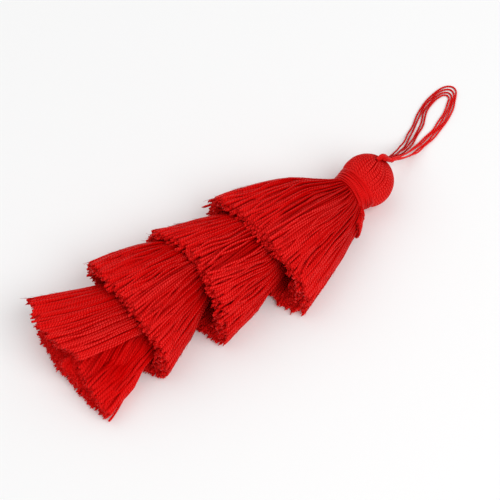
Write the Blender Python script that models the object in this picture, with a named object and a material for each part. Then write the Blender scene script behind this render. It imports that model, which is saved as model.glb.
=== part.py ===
"""A layered thread tassel with its hanging loop, lying on a flat surface.

Four hanks of twisted thread hang one under the other. The first is folded over at its top into a ribbed
ball, bound round the neck, and spread into a skirt. The other three are tied roots with a skirt each, every
root hidden inside the skirt above it. Four thin threads come out of the ball's crown and make the loop.

Units are metres. +X runs along the tassel from its tail to its head, +Y is its far side and +Z is up from
the surface. The origin is the middle of the body's footprint, on the surface.
"""

import math
import random
from collections import namedtuple

import bmesh
import bpy
from mathutils import Euler, Vector

# Driving dimensions
BODY_LENGTH = 0.0925  # head's top to the furthest tips
FOOTPRINT_SHIFT = 0.0010  # brings the footprint's middle to Y = 0
SPINE_HEIGHT = 0.0065  # height of the line through the ball, neck and roots
CLEARANCE = 0.0003  # between neighbouring pieces

# Head
BALL_RADIUS = 0.0064
BALL_ADVANCE = 0.0065  # from the first skirt's root to the ball's centre
POLE_RISE = math.radians(40)  # the crown is tipped up from the spine
POLE_TURN = math.radians(1)  # and turned to the far side of the neck's own line
RIB_DEPTH = 0.00022
BALL_END_ANGLE = 112  # degrees from the crown, where the ball tucks under the binding
BALL_ROWS = 9

# Neck and its binding
NECK_RADIUS = 0.0046
BINDING_LENGTH = 0.0035
BINDING_TURNS = 6
BINDING_HEAD_RADIUS = 0.0057
BINDING_SKIRT_RADIUS = 0.0052
TURN_RELIEF = 0.0003

# Crown knot, lying over the crown towards the loop
KNOT_LENGTH = 0.0026
KNOT_WIDTH = 0.0019
KNOT_THICKNESS = 0.0012

# Hanging loop: four threads that leave the knot together and lie open on the surface
THREAD_RADIUS = 0.000225
LOOP_START = (0.0462, 0.0011)
LOOP_TURN = math.radians(20)  # the loop lies turned to the far side of the spine
POINT_SPACING = 0.0010
ROUTE_UNIT = 0.001  # the routes below are in millimetres

# Each thread's way out round the loop and back: (along the loop, across it to the far side, height).
ROUTES = (
    (
        (0.0, 0.80, 9.75), (1.5, 1.05, 8.8), (4.0, 1.35, 6.5), (7.0, 1.75, 4.1), (9.5, 2.25, 2.4),
        (12.0, 2.75, 1.2), (14.5, 3.20, 0.5), (17.2, 3.65, 0.25), (19.8, 4.25, 0.25), (22.5, 4.70, 0.25),
        (25.6, 4.95, 0.25), (29.0, 4.70, 0.25), (31.7, 3.95, 0.25), (33.7, 2.95, 0.25), (34.5, 1.70, 0.25),
        (34.0, 0.40, 0.25), (32.6, -0.60, 0.25), (30.6, -1.40, 0.25), (28.2, -2.15, 0.25), (25.3, -2.70, 0.25),
        (22.2, -2.85, 0.25), (18.8, -2.80, 0.25), (14.8, -2.40, 0.5), (12.0, -2.15, 1.2), (9.5, -1.90, 2.4),
        (7.0, -1.60, 4.1), (4.0, -1.20, 6.5), (1.5, -0.95, 8.8), (0.0, -0.80, 9.75),
    ),
    (
        (0.0, 0.80, 9.00), (1.5, 0.95, 8.05), (4.0, 1.10, 5.75), (6.8, 1.30, 3.45), (9.2, 1.60, 1.85),
        (11.7, 1.95, 0.85), (14.2, 2.40, 0.35), (17.0, 2.95, 0.25), (19.8, 3.55, 0.25), (22.4, 4.05, 0.25),
        (25.6, 4.40, 0.25), (29.0, 4.15, 0.25), (31.3, 3.45, 0.25), (32.9, 2.45, 0.25), (33.4, 1.40, 0.25),
        (32.8, 0.30, 0.25), (31.4, -0.52, 0.25), (29.6, -1.17, 0.25), (27.8, -1.63, 0.25), (25.2, -2.15, 0.25),
        (22.1, -2.30, 0.25), (18.8, -2.25, 0.25), (14.6, -1.80, 0.35), (11.7, -1.50, 0.85), (9.2, -1.25, 1.85),
        (6.8, -1.05, 3.45), (4.0, -0.95, 5.75), (1.5, -0.85, 8.05), (0.0, -0.80, 9.00),
    ),
    (
        (0.0, 0.27, 9.75), (1.5, 0.38, 8.8), (4.0, 0.60, 6.5), (7.0, 0.90, 4.1), (9.5, 1.10, 2.4),
        (12.0, 1.35, 1.2), (14.7, 1.65, 0.5), (17.5, 2.05, 0.25), (19.7, 2.55, 0.25), (21.4, 3.10, 0.25),
        (23.2, 3.60, 0.25), (25.8, 3.85, 0.25), (28.6, 3.62, 0.25), (30.4, 3.10, 0.25), (31.7, 2.42, 0.25),
        (32.3, 1.35, 0.25), (31.75, 0.33, 0.25), (30.5, -0.32, 0.25), (27.8, -1.07, 0.25), (25.0, -1.60, 0.25),
        (22.0, -1.75, 0.25), (18.8, -1.70, 0.25), (14.8, -1.20, 0.5), (12.0, -0.85, 1.2), (9.5, -0.62, 2.4),
        (7.0, -0.50, 4.1), (4.0, -0.40, 6.5), (1.5, -0.32, 8.8), (0.0, -0.27, 9.75),
    ),
    (
        (0.0, 0.27, 9.00), (1.5, 0.32, 8.05), (4.0, 0.42, 5.75), (6.8, 0.55, 3.45), (9.2, 0.68, 1.85),
        (11.7, 0.85, 0.85), (14.3, 1.10, 0.35), (17.4, 1.48, 0.25), (19.9, 1.90, 0.25), (22.3, 2.60, 0.25),
        (25.2, 3.30, 0.25), (28.2, 3.08, 0.25), (29.6, 2.76, 0.25), (30.8, 2.26, 0.25), (31.35, 1.33, 0.25),
        (30.85, 0.45, 0.25), (29.7, 0.04, 0.25), (27.3, -0.52, 0.25), (24.7, -1.05, 0.25), (21.8, -1.20, 0.25),
        (18.8, -1.15, 0.25), (14.6, -0.65, 0.35), (11.7, -0.30, 0.85), (9.2, -0.12, 1.85), (6.8, -0.10, 3.45),
        (4.0, -0.15, 5.75), (1.5, -0.22, 8.05), (0.0, -0.27, 9.00),
    ),
)

# Roots of the hanks
ROOT_RADIUS = 0.0043
ROOT_WALL = 0.0022
KNOB_RADIUS = 0.0036
KNOB_LENGTH = 0.0040
STEM_RADIUS = 0.0018
STEM_START = 0.0060

# Walls of the skirts, at their rims
TOP_WALL = 0.0019
FLOOR_WALL = 0.0011
WALL_GROWTH = 0.3  # share of the skirt over which the wall reaches that thickness
TOP_BELL = 0.55
FALL = 0.24  # share of the skirt over which its lowest threads come down to the surface
ROUNDNESS = 2.4  # power of the superellipse over the spine, 2 for an ellipse
FLAT_FROM = 0.62  # sine of the angle below which the section lies flat on the surface

# Locks
FIRST_STATION = 0.1  # share of a lock's length where it has left the root
SIDE_GAP = 0.08  # gap beside a lock at the rim, in lock widths
RING_GAP = 0.05  # gap between one ring of locks and the next, in wall thicknesses
TIP_JITTER = 0.030  # in shares of the skirt's length
CUT_SLANT = 0.014
CLUMP_DEPTH = 0.0005  # threads gather in clumps, with dips of this depth between them
CLUMPS = 7
CLUMP_TWIST = 5  # radians that the clumps wander round the skirt
CLUMP_REACH = 0.25  # how far the clumps go down the sides, as a sine

# One row for each skirt, first to last. root: distance of the tied root from the head's top. root_y, rim_y:
# sideways place of root and rim. reach: the skirt's length. lap: share of it inside the skirt above.
# mids: the shares of a lock's length between which it straightens.
# far, near, top: half widths and height of the rim over the spine. far_bell, near_bell: powers of the
# sides' flare. far_wall, near_wall: the sides' thickness. top_trim, far_trim, near_trim: how much shorter
# the threads are there. lean: how far the upper layer lies over to the far side. rings: locks in each ring,
# outer first.
Skirt = namedtuple(
    "Skirt",
    "name root root_y rim_y reach lap mids far near top far_bell near_bell far_wall near_wall"
    " top_trim far_trim near_trim lean rings seed",
)
SKIRTS = (
    Skirt(
        name="tassel_head", root=0.0133, root_y=-0.0006, rim_y=-0.0030, reach=0.0268, lap=0.04,
        mids=(0.32, 0.56),
        far=0.0194, near=0.0163, top=0.0088, far_bell=0.61, near_bell=0.62,
        far_wall=0.0024, near_wall=0.0046, top_trim=0.0010, far_trim=0.0, near_trim=0.0004, lean=0.0,
        rings=(44, 22), seed=11,
    ),
    Skirt(
        name="skirt_2", root=0.0328, root_y=0.0, rim_y=0.0, reach=0.0260, lap=0.34,
        mids=(0.34, 0.58),
        far=0.0166, near=0.0155, top=0.0090, far_bell=0.55, near_bell=0.48,
        far_wall=0.0021, near_wall=0.0036, top_trim=0.0036, far_trim=0.0, near_trim=0.0010, lean=0.0,
        rings=(44, 22), seed=12,
    ),
    Skirt(
        name="skirt_3", root=0.0502, root_y=0.0026, rim_y=0.0, reach=0.0240, lap=0.37,
        mids=(0.37, 0.61),
        far=0.0165, near=0.0141, top=0.0088, far_bell=0.42, near_bell=0.86,
        far_wall=0.0030, near_wall=0.0036, top_trim=0.0, far_trim=0.0014, near_trim=-0.0012, lean=0.0,
        rings=(44, 22), seed=13,
    ),
    Skirt(
        name="skirt_4", root=0.0652, root_y=0.0008, rim_y=0.0004, reach=0.0266, lap=0.40,
        mids=(0.40, 0.64),
        far=0.0166, near=0.0146, top=0.0076, far_bell=0.66, near_bell=0.50,
        far_wall=0.0140, near_wall=0.0126, top_trim=0.0016, far_trim=0.0014, near_trim=0.0010, lean=0.0030,
        rings=(44, 22, 11), seed=14,
    ),
)
FILLED_TOP_WALL = 0.0062  # the last skirt is filled, so its rings share nearly the whole section
FILLED_FLOOR_WALL = 0.0050

# Colours of the threads
THREAD_RED = (0.62, 0.010, 0.012, 1.0)
SHADED_RED = (0.50, 0.007, 0.009, 1.0)
THREAD_ROUGHNESS = 0.62


def clear_scene():
    """Remove what the scene holds."""
    for item in list(bpy.data.objects):
        bpy.data.objects.remove(item, do_unlink=True)


def thread_material(name, colour):
    """Return a dyed thread's material."""
    material = bpy.data.materials.new(name)
    material.use_nodes = True
    shader = material.node_tree.nodes["Principled BSDF"]
    shader.inputs["Base Color"].default_value = colour
    shader.inputs["Roughness"].default_value = THREAD_ROUGHNESS
    shader.inputs["Metallic"].default_value = 0.0
    return material


def add_object(name, mesh_builder, colour, parent, location=(0, 0, 0), turn=0.0):
    """Turn a bmesh into a named object under the tassel's empty."""
    bmesh.ops.recalc_face_normals(mesh_builder, faces=mesh_builder.faces)
    mesh = bpy.data.meshes.new(name)
    mesh_builder.to_mesh(mesh)
    mesh_builder.free()
    item = bpy.data.objects.new(name, mesh)
    item.data.materials.append(thread_material(name + "_thread", colour))
    item.location = location
    item.rotation_euler = (0, 0, turn)
    item.parent = parent
    bpy.context.scene.collection.objects.link(item)
    return item


def mix(start, end, share):
    """Blend two numbers."""
    return start + (end - start) * share


def smooth(share):
    """Ease from 0 to 1."""
    share = max(0.0, min(1.0, share))
    return share * share * (3 - 2 * share)


def ring(builder, points):
    """Add a closed row of vertices."""
    return [builder.verts.new(point) for point in points]


def bridge(builder, first, second):
    """Join two rows of equal length with quads."""
    count = len(first)
    for k in range(count):
        after = (k + 1) % count
        builder.faces.new((first[k], first[after], second[after], second[k]))


# ---------------------------------------------------------------- the skirts' sections


def fall_share(skirt, q):
    """How far the lowest threads have come down to the surface at share q of the skirt."""
    return smooth((q - skirt.lap) / FALL)


def outer_section(skirt, q):
    """Far, near, upper and lower half sizes of the skirt at share q of its length."""
    far = mix(ROOT_RADIUS, skirt.far, q**skirt.far_bell)
    near = mix(ROOT_RADIUS, skirt.near, q**skirt.near_bell)
    top = mix(ROOT_RADIUS, skirt.top, q**TOP_BELL)
    low = mix(ROOT_RADIUS, SPINE_HEIGHT, fall_share(skirt, q))
    return far, near, top, low


def inner_section(skirt, q):
    """The same for the inside of the skirt's wall."""
    filled = len(skirt.rings) > 2
    rim_walls = (
        skirt.far_wall,
        skirt.near_wall,
        FILLED_TOP_WALL if filled else TOP_WALL,
        FILLED_FLOOR_WALL if filled else FLOOR_WALL,
    )
    grown = min(1.0, q / WALL_GROWTH)
    outer = outer_section(skirt, q)
    return tuple(size - mix(ROOT_WALL, wall, grown) for size, wall in zip(outer, rim_walls))


def outline(section, angle, flatness):
    """Point of a section at an angle from the far side, over the top."""
    far, near, top, low = section
    side = math.cos(angle)
    rise = math.sin(angle)
    half = far if side > 0 else near
    if rise > 0:
        fullness = (abs(side) ** ROUNDNESS + rise**ROUNDNESS) ** (-1 / ROUNDNESS)
        return half * side * fullness, top * rise * fullness
    y = half * side
    depth = min(1.0, -rise / FLAT_FROM)
    flattened = 1 - (1 - depth) ** 2
    return y, -low * mix(-rise, flattened, flatness)


def even_angles(skirt, count):
    """Angles that divide the rim's outline into equal lengths."""
    steps = 720
    section = outer_section(skirt, 1.0)
    points = [outline(section, math.tau * i / steps, 1.0) for i in range(steps + 1)]
    travelled = [0.0]
    for start, end in zip(points, points[1:]):
        travelled.append(travelled[-1] + math.dist(start, end))
    angles = []
    i = 0
    for k in range(count + 1):
        target = travelled[-1] * k / count
        while i < steps - 1 and travelled[i + 1] < target:
            i += 1
        part = (target - travelled[i]) / (travelled[i + 1] - travelled[i])
        angles.append(math.tau * (i + part) / steps)
    return angles


class Shape:
    """Places a skirt's points in the skirt's own frame: root at the origin, threads running to -X."""

    def __init__(self, skirt):
        self.skirt = skirt
        self.count = skirt.rings[0]
        self.rim_angles = even_angles(skirt, self.count)

    def angle(self, k, q):
        """Angle of the line k of the sectors, even at the root and evenly spread at the rim."""
        whole = int(math.floor(k))
        before = self.rim_angles[whole % self.count] + math.tau * (whole // self.count)
        after = self.rim_angles[(whole + 1) % self.count] + math.tau * ((whole + 1) // self.count)
        at_rim = mix(before, after, k - whole)
        return mix(math.tau * k / self.count, at_rim, min(1.0, 2 * q))

    def point(self, q, depth, k):
        """Point at share q of the length, depth 1 on the skirt and 0 inside its wall, on sector line k."""
        skirt = self.skirt
        angle = self.angle(k, q)
        flatness = fall_share(skirt, q)
        outer = outline(outer_section(skirt, q), angle, flatness)
        inner = outline(inner_section(skirt, q), angle, flatness)
        clump = 0.5 + 0.5 * math.sin(CLUMPS * angle + CLUMP_TWIST * q + skirt.seed)
        raised = max(0.0, math.sin(angle) + CLUMP_REACH) / (1 + CLUMP_REACH)
        size = math.hypot(*outer)
        outer_share = 1 - CLUMP_DEPTH * clump * raised * min(1.0, q) / size
        y = mix(inner[0], outer[0] * outer_share, depth)
        z = mix(inner[1], outer[1] * outer_share, depth)
        y += skirt.lean * q * q * z / skirt.top
        return Vector((-q * skirt.reach, y, z))

    def tip_share(self, k):
        """Where the threads of sector line k are cut, as a share of the skirt's length."""
        angle = self.angle(k, 1.0)
        trim = self.skirt.top_trim * max(0.0, math.sin(angle)) ** 2
        trim += self.skirt.near_trim * max(0.0, -math.cos(angle)) ** 2
        trim += self.skirt.far_trim * max(0.0, math.cos(angle)) ** 2
        return 1 - trim / self.skirt.reach


def lock_stations(skirt, ring_index):
    """Shares of its own length at which a lock's section is set."""
    if ring_index == 0:
        return (FIRST_STATION, *skirt.mids, 1.0)
    return (FIRST_STATION, sum(skirt.mids) / 2, 1.0)


def add_lock(builder, shape, chance, roots, ring_index, sector, depths):
    """Draw one lock out of its root face, as a four-sided strand that stands apart from its neighbours."""
    outer_root, inner_root = roots
    width = shape.count // shape.skirt.rings[ring_index]
    first = sector * width
    tip = shape.tip_share(first + width / 2) + chance.uniform(-TIP_JITTER, TIP_JITTER / 2)
    sway = chance.uniform(-0.5, 0.5) * SIDE_GAP * width
    low, high = depths
    loops = []
    stations = lock_stations(shape.skirt, ring_index)
    for number, share in enumerate(stations):
        q = share * tip
        gap = SIDE_GAP * width * min(1.0, q * 2)
        shift = sway * share
        corners = []
        for depth, k in (
            (high, first + gap + shift),
            (high, first + width - gap + shift),
            (low, first + width - gap + shift),
            (low, first + gap + shift),
        ):
            slant = chance.uniform(-CUT_SLANT, CUT_SLANT) if number == len(stations) - 1 else 0.0
            corners.append(shape.point(q + slant, depth, k))
        loops.append(ring(builder, corners))
    first_loop = loops[0]
    builder.faces.new((*outer_root, first_loop[1], first_loop[0]))
    builder.faces.new((*reversed(inner_root), first_loop[3], first_loop[2]))
    builder.faces.new((outer_root[-1], inner_root[-1], first_loop[2], first_loop[1]))
    builder.faces.new((inner_root[0], outer_root[0], first_loop[0], first_loop[3]))
    for before, after in zip(loops, loops[1:]):
        bridge(builder, before, after)
    builder.faces.new(loops[-1])


def add_locks(builder, skirt, root_ring):
    """Fill the root's end with rings of locks and close its middle."""
    shape = Shape(skirt)
    chance = random.Random(skirt.seed)
    rings = skirt.rings
    share = 1 / len(rings)
    bound = root_ring
    for index, locks in enumerate(rings):
        outer_depth = 1 - share * index
        inner_depth = 1 - share * (index + 1)
        lines = shape.count // locks
        inner_bound = ring(builder, [shape.point(0.0, inner_depth, k * lines) for k in range(locks)])
        depths = (
            inner_depth + (RING_GAP if index + 1 < len(rings) else 0.0),
            outer_depth - (RING_GAP if index else 0.0),
        )
        outer_step = len(bound) // locks
        inner_step = len(inner_bound) // locks
        for sector in range(locks):
            outer_root = [bound[(sector * outer_step + i) % len(bound)] for i in range(outer_step + 1)]
            inner_root = [
                inner_bound[(sector * inner_step + i) % len(inner_bound)] for i in range(inner_step + 1)
            ]
            add_lock(builder, shape, chance, (outer_root, inner_root), index, sector, depths)
        bound = inner_bound
    builder.faces.new(bound)


# ---------------------------------------------------------------- the backings


def round_row(centre, axis, radius, count, ribs=0.0, floor=None):
    """A circle of points about an axis, every second one raised, kept over the floor."""
    turn = Vector((1, 0, 0)).rotation_difference(axis)
    points = []
    for k in range(count):
        angle = math.tau * k / count
        size = radius + (ribs if k % 2 else 0.0)
        point = centre + turn @ Vector((0, size * math.cos(angle), size * math.sin(angle)))
        if floor is not None:
            point.z = max(point.z, floor)
        points.append(point)
    return points


def ball_end():
    """Distance from the first skirt's root to the ball's end at the neck."""
    return BALL_ADVANCE + BALL_RADIUS * math.cos(math.radians(BALL_END_ANGLE))


def pole_axis():
    """Direction of the ball's crown."""
    level = math.cos(POLE_RISE)
    return Vector((level * math.cos(POLE_TURN), level * math.sin(POLE_TURN), math.sin(POLE_RISE)))


def build_head(skirt):
    """The ribbed ball, the neck under the binding, and the first skirt, all of the same threads."""
    builder = bmesh.new()
    count = skirt.rings[0]
    centre = Vector((BALL_ADVANCE, 0, 0))
    spine = Vector((1, 0, 0))
    rows = []
    for row in range(1, BALL_ROWS + 1):
        polar = math.radians(BALL_END_ANGLE) * row / BALL_ROWS
        axis = pole_axis().lerp(spine, smooth(row / BALL_ROWS)).normalized()
        middle = centre + axis * (BALL_RADIUS * math.cos(polar))
        radius = BALL_RADIUS * math.sin(polar)
        ribs = -RIB_DEPTH if 1 < row < BALL_ROWS else 0.0
        rows.append(ring(builder, round_row(middle, axis, radius, count, ribs, -SPINE_HEIGHT)))
    rows.append(ring(builder, round_row(Vector((ball_end() - CLEARANCE, 0, 0)), spine, NECK_RADIUS, count)))
    rows.append(ring(builder, round_row(Vector((0, 0, 0)), spine, ROOT_RADIUS, count)))
    builder.faces.new(rows[0])
    for before, after in zip(rows, rows[1:]):
        bridge(builder, before, after)
    add_locks(builder, skirt, rows[-1])
    return builder


def build_hank(skirt, above):
    """A tied root whose stem reaches up to the root above, and its own skirt."""
    builder = bmesh.new()
    count = skirt.rings[0]
    spine = Vector((1, 0, 0))
    turned_back = Euler((0, 0, -skirt_turn(skirt)))
    above_axis = Vector((1, 0, 0))
    above_axis.rotate(Euler((0, 0, skirt_turn(above) - skirt_turn(skirt))))
    stem_end = Vector((skirt.root - above.root, above.root_y - skirt.root_y, 0))
    stem_end.rotate(turned_back)
    profile = (
        (stem_end - above_axis * CLEARANCE, above_axis, STEM_RADIUS),
        (Vector((STEM_START, 0, 0)), spine, STEM_RADIUS),
        (Vector((KNOB_LENGTH, 0, 0)), spine, KNOB_RADIUS),
        (Vector((0, 0, 0)), spine, ROOT_RADIUS),
    )
    rows = [ring(builder, round_row(*row, count)) for row in profile]
    builder.faces.new(rows[0])
    for before, after in zip(rows, rows[1:]):
        bridge(builder, before, after)
    add_locks(builder, skirt, rows[-1])
    return builder


def build_binding():
    """The wound binding as a ring with one ridge for each turn, set back from the skirt's root."""
    builder = bmesh.new()
    sides = 32
    spine = Vector((1, 0, 0))
    inside = NECK_RADIUS + CLEARANCE
    profile = [(0.0, inside)]
    for turn in range(BINDING_TURNS + 1):
        share = turn / BINDING_TURNS
        body = mix(BINDING_SKIRT_RADIUS, BINDING_HEAD_RADIUS, share)
        profile.append((BINDING_LENGTH * share, body - TURN_RELIEF))
        if turn < BINDING_TURNS:
            crest = share + 0.5 / BINDING_TURNS
            body = mix(BINDING_SKIRT_RADIUS, BINDING_HEAD_RADIUS, crest)
            profile.append((BINDING_LENGTH * crest, body))
    profile.append((BINDING_LENGTH, inside))
    rows = [ring(builder, round_row(Vector((x, 0, 0)), spine, radius, sides)) for x, radius in profile]
    for before, after in zip(rows, rows[1:] + rows[:1]):
        bridge(builder, before, after)
    return builder


def build_knot():
    """The small twisted lump on the crown, in its own frame: long along X, thin along Z."""
    builder = bmesh.new()
    bmesh.ops.create_uvsphere(builder, u_segments=12, v_segments=8, radius=0.5)
    bmesh.ops.scale(builder, vec=(KNOT_LENGTH, KNOT_WIDTH, KNOT_THICKNESS), verts=builder.verts)
    return builder


# ---------------------------------------------------------------- the hanging loop


def curve_through(route, spacing):
    """Evenly spaced points of a smooth curve through a thread's route."""
    points = [Vector(point) * ROUTE_UNIT for point in route]
    ends = [2 * points[0] - points[1], *points, 2 * points[-1] - points[-2]]
    fine = []
    steps = 12
    for before, start, end, after in zip(ends, ends[1:], ends[2:], ends[3:]):
        for step in range(steps):
            t = step / steps
            fine.append(
                0.5
                * (
                    2 * start
                    + (end - before) * t
                    + (2 * before - 5 * start + 4 * end - after) * t**2
                    + (3 * start - before - 3 * end + after) * t**3
                )
            )
    fine.append(points[-1])
    travelled = [0.0]
    for start, end in zip(fine, fine[1:]):
        travelled.append(travelled[-1] + (end - start).length)
    count = round(travelled[-1] / spacing)
    even = []
    i = 0
    for k in range(count + 1):
        target = travelled[-1] * k / count
        while i < len(fine) - 2 and travelled[i + 1] < target:
            i += 1
        even.append(fine[i].lerp(fine[i + 1], (target - travelled[i]) / (travelled[i + 1] - travelled[i])))
    return even


def add_thread(name, route, parent):
    """One thread of the loop, as a round tube along its route."""
    curve = bpy.data.curves.new(name, "CURVE")
    curve.dimensions = "3D"
    curve.bevel_depth = THREAD_RADIUS
    curve.bevel_resolution = 2
    curve.use_fill_caps = True
    points = curve_through(route, POINT_SPACING)
    spline = curve.splines.new("POLY")
    spline.points.add(len(points) - 1)
    for target, point in zip(spline.points, points):
        target.co = (*point, 1.0)
    curve.materials.append(thread_material(name + "_thread", SHADED_RED))
    item = bpy.data.objects.new(name, curve)
    item.parent = parent
    bpy.context.scene.collection.objects.link(item)


def build_loop():
    """The four threads, under an empty at the place where they leave the knot."""
    loop = bpy.data.objects.new("loop", None)
    loop.location = (*LOOP_START, 0)
    loop.rotation_euler = (0, 0, LOOP_TURN)
    bpy.context.scene.collection.objects.link(loop)
    for number, route in enumerate(ROUTES, start=1):
        add_thread(f"loop_thread_{number}", route, loop)


# ---------------------------------------------------------------- the whole


def skirt_turn(skirt):
    """Turn about Z that points a skirt from its root to its rim."""
    return math.atan2(skirt.root_y - skirt.rim_y, skirt.reach)


def build_body():
    """Build every piece under one empty, whose place brings the footprint's middle to the origin."""
    tassel = bpy.data.objects.new("tassel", None)
    tassel.location = (BODY_LENGTH / 2, FOOTPRINT_SHIFT, 0)
    bpy.context.scene.collection.objects.link(tassel)
    above = None
    for skirt in SKIRTS:
        builder = build_hank(skirt, above) if above else build_head(skirt)
        place = (-skirt.root, skirt.root_y, SPINE_HEIGHT)
        add_object(skirt.name, builder, THREAD_RED, tassel, place, skirt_turn(skirt))
        above = skirt
    head = SKIRTS[0]
    turn = skirt_turn(head)
    root = Vector((-head.root, head.root_y, SPINE_HEIGHT))
    binding_start = Vector((ball_end() - 2 * CLEARANCE - BINDING_LENGTH, 0, 0))
    binding_start.rotate(Euler((0, 0, turn)))
    add_object("neck_binding", build_binding(), SHADED_RED, tassel, root + binding_start, turn)
    crown = Vector((BALL_ADVANCE, 0, 0)) + pole_axis() * (BALL_RADIUS + CLEARANCE + KNOT_THICKNESS / 2)
    crown.rotate(Euler((0, 0, turn)))
    knot = add_object("crown_knot", build_knot(), SHADED_RED, tassel, root + crown)
    knot.rotation_euler = (0, math.pi / 2 - POLE_RISE, turn + POLE_TURN)


clear_scene()
build_body()
build_loop()
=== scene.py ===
import math
from collections import namedtuple
from functools import partialmethod

import bpy
import numpy as np
from numpy.random import default_rng
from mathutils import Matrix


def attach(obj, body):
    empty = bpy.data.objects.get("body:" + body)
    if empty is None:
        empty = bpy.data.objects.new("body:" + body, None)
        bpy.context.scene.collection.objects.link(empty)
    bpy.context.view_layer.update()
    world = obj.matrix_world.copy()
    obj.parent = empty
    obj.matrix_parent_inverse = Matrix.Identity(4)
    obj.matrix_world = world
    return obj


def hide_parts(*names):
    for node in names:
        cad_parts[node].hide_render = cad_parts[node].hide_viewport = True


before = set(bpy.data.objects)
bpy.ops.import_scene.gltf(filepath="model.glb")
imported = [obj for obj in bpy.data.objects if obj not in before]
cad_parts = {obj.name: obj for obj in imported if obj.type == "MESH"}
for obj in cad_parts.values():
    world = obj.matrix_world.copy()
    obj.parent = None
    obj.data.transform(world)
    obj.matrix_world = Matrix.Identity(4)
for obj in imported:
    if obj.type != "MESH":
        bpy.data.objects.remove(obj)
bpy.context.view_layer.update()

# -------- sizes shared with the solids, in metres
BODY_LENGTH = 0.0925
FOOTPRINT_SHIFT = 0.0010
SPINE_HEIGHT = 0.0065
ROOT_RADIUS = 0.0043
ROOT_WALL = 0.0022
TOP_WALL = 0.0019
FLOOR_WALL = 0.0011
FILLED_TOP_WALL = 0.0062
FILLED_FLOOR_WALL = 0.0050
WALL_GROWTH = 0.3
TOP_BELL = 0.55
FALL = 0.24
ROUNDNESS = 2.4
FLAT_FROM = 0.62
BALL_RADIUS = 0.0064
BALL_ADVANCE = 0.0065
BALL_END_ANGLE = math.radians(112)
POLE_RISE = math.radians(40)
POLE_TURN = math.radians(1)
BINDING_LENGTH = 0.0035
BINDING_HEAD_RADIUS = 0.0057
BINDING_SKIRT_RADIUS = 0.0052
CLEARANCE = 0.0003
KNOT_THICKNESS = 0.0012
LOOP_START = (0.0462, 0.0011)
LOOP_TURN = math.radians(20)
LOOP_THREAD_RADIUS = 0.000225
MM = 0.001

Skirt = namedtuple(
    "Skirt",
    "name root root_y rim_y reach lap far near top far_bell near_bell far_wall near_wall"
    " top_trim far_trim near_trim lean filled seed",
)
SKIRTS = (
    Skirt("tassel_head", 0.0133, -0.0006, -0.0030, 0.0268, 0.04, 0.0194, 0.0163, 0.0088, 0.61, 0.62,
          0.0024, 0.0046, 0.0010, 0.0, 0.0004, 0.0, False, 11),
    Skirt("skirt_2", 0.0328, 0.0, 0.0, 0.0260, 0.34, 0.0166, 0.0155, 0.0090, 0.55, 0.48,
          0.0021, 0.0036, 0.0036, 0.0, 0.0010, 0.0, False, 12),
    Skirt("skirt_3", 0.0502, 0.0026, 0.0, 0.0240, 0.37, 0.0165, 0.0141, 0.0088, 0.42, 0.86,
          0.0030, 0.0036, 0.0, 0.0014, -0.0012, 0.0, False, 13),
    Skirt("skirt_4", 0.0652, 0.0008, 0.0004, 0.0266, 0.40, 0.0166, 0.0146, 0.0076, 0.66, 0.50,
          0.0140, 0.0126, 0.0016, 0.0014, 0.0010, 0.0030, True, 14),
)

# The loop's threads, in millimetres: points along it and across it. The first and the last of them have the
# heights below, in the upper and the lower of each pair, and the others lie on the surface
ROUTE_HEIGHTS = ((9.75, 8.8, 6.5, 4.1, 2.4, 1.2, 0.5), (9.0, 8.05, 5.75, 3.45, 1.85, 0.85, 0.35))
RESTING_HEIGHT = 0.25
ROUTES = (
    (
        (0, 0.8), (1.5, 1.05), (4, 1.35), (7, 1.75), (9.5, 2.25), (12, 2.75), (14.5, 3.2), (17.2, 3.65),
        (19.8, 4.25), (22.5, 4.7), (25.6, 4.95), (29, 4.7), (31.7, 3.95), (33.7, 2.95), (34.5, 1.7),
        (34, 0.4), (32.6, -0.6), (30.6, -1.4), (28.2, -2.15), (25.3, -2.7), (22.2, -2.85), (18.8, -2.8),
        (14.8, -2.4), (12, -2.15), (9.5, -1.9), (7, -1.6), (4, -1.2), (1.5, -0.95), (0, -0.8),
    ),
    (
        (0, 0.8), (1.5, 0.95), (4, 1.1), (6.8, 1.3), (9.2, 1.6), (11.7, 1.95), (14.2, 2.4), (17, 2.95),
        (19.8, 3.55), (22.4, 4.05), (25.6, 4.4), (29, 4.15), (31.3, 3.45), (32.9, 2.45), (33.4, 1.4),
        (32.8, 0.3), (31.4, -0.52), (29.6, -1.17), (27.8, -1.63), (25.2, -2.15), (22.1, -2.3),
        (18.8, -2.25), (14.6, -1.8), (11.7, -1.5), (9.2, -1.25), (6.8, -1.05), (4, -0.95), (1.5, -0.85),
        (0, -0.8),
    ),
    (
        (0, 0.27), (1.5, 0.38), (4, 0.6), (7, 0.9), (9.5, 1.1), (12, 1.35), (14.7, 1.65), (17.5, 2.05),
        (19.7, 2.55), (21.4, 3.1), (23.2, 3.6), (25.8, 3.85), (28.6, 3.62), (30.4, 3.1), (31.7, 2.42),
        (32.3, 1.35), (31.75, 0.33), (30.5, -0.32), (27.8, -1.07), (25, -1.6), (22, -1.75), (18.8, -1.7),
        (14.8, -1.2), (12, -0.85), (9.5, -0.62), (7, -0.5), (4, -0.4), (1.5, -0.32), (0, -0.27),
    ),
    (
        (0, 0.27), (1.5, 0.32), (4, 0.42), (6.8, 0.55), (9.2, 0.68), (11.7, 0.85), (14.3, 1.1),
        (17.4, 1.48), (19.9, 1.9), (22.3, 2.6), (25.2, 3.3), (28.2, 3.08), (29.6, 2.76), (30.8, 2.26),
        (31.35, 1.33), (30.85, 0.45), (29.7, 0.04), (27.3, -0.52), (24.7, -1.05), (21.8, -1.2),
        (18.8, -1.15), (14.6, -0.65), (11.7, -0.3), (9.2, -0.12), (6.8, -0.1), (4, -0.15), (1.5, -0.22),
        (0, -0.27),
    ),
)


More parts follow.
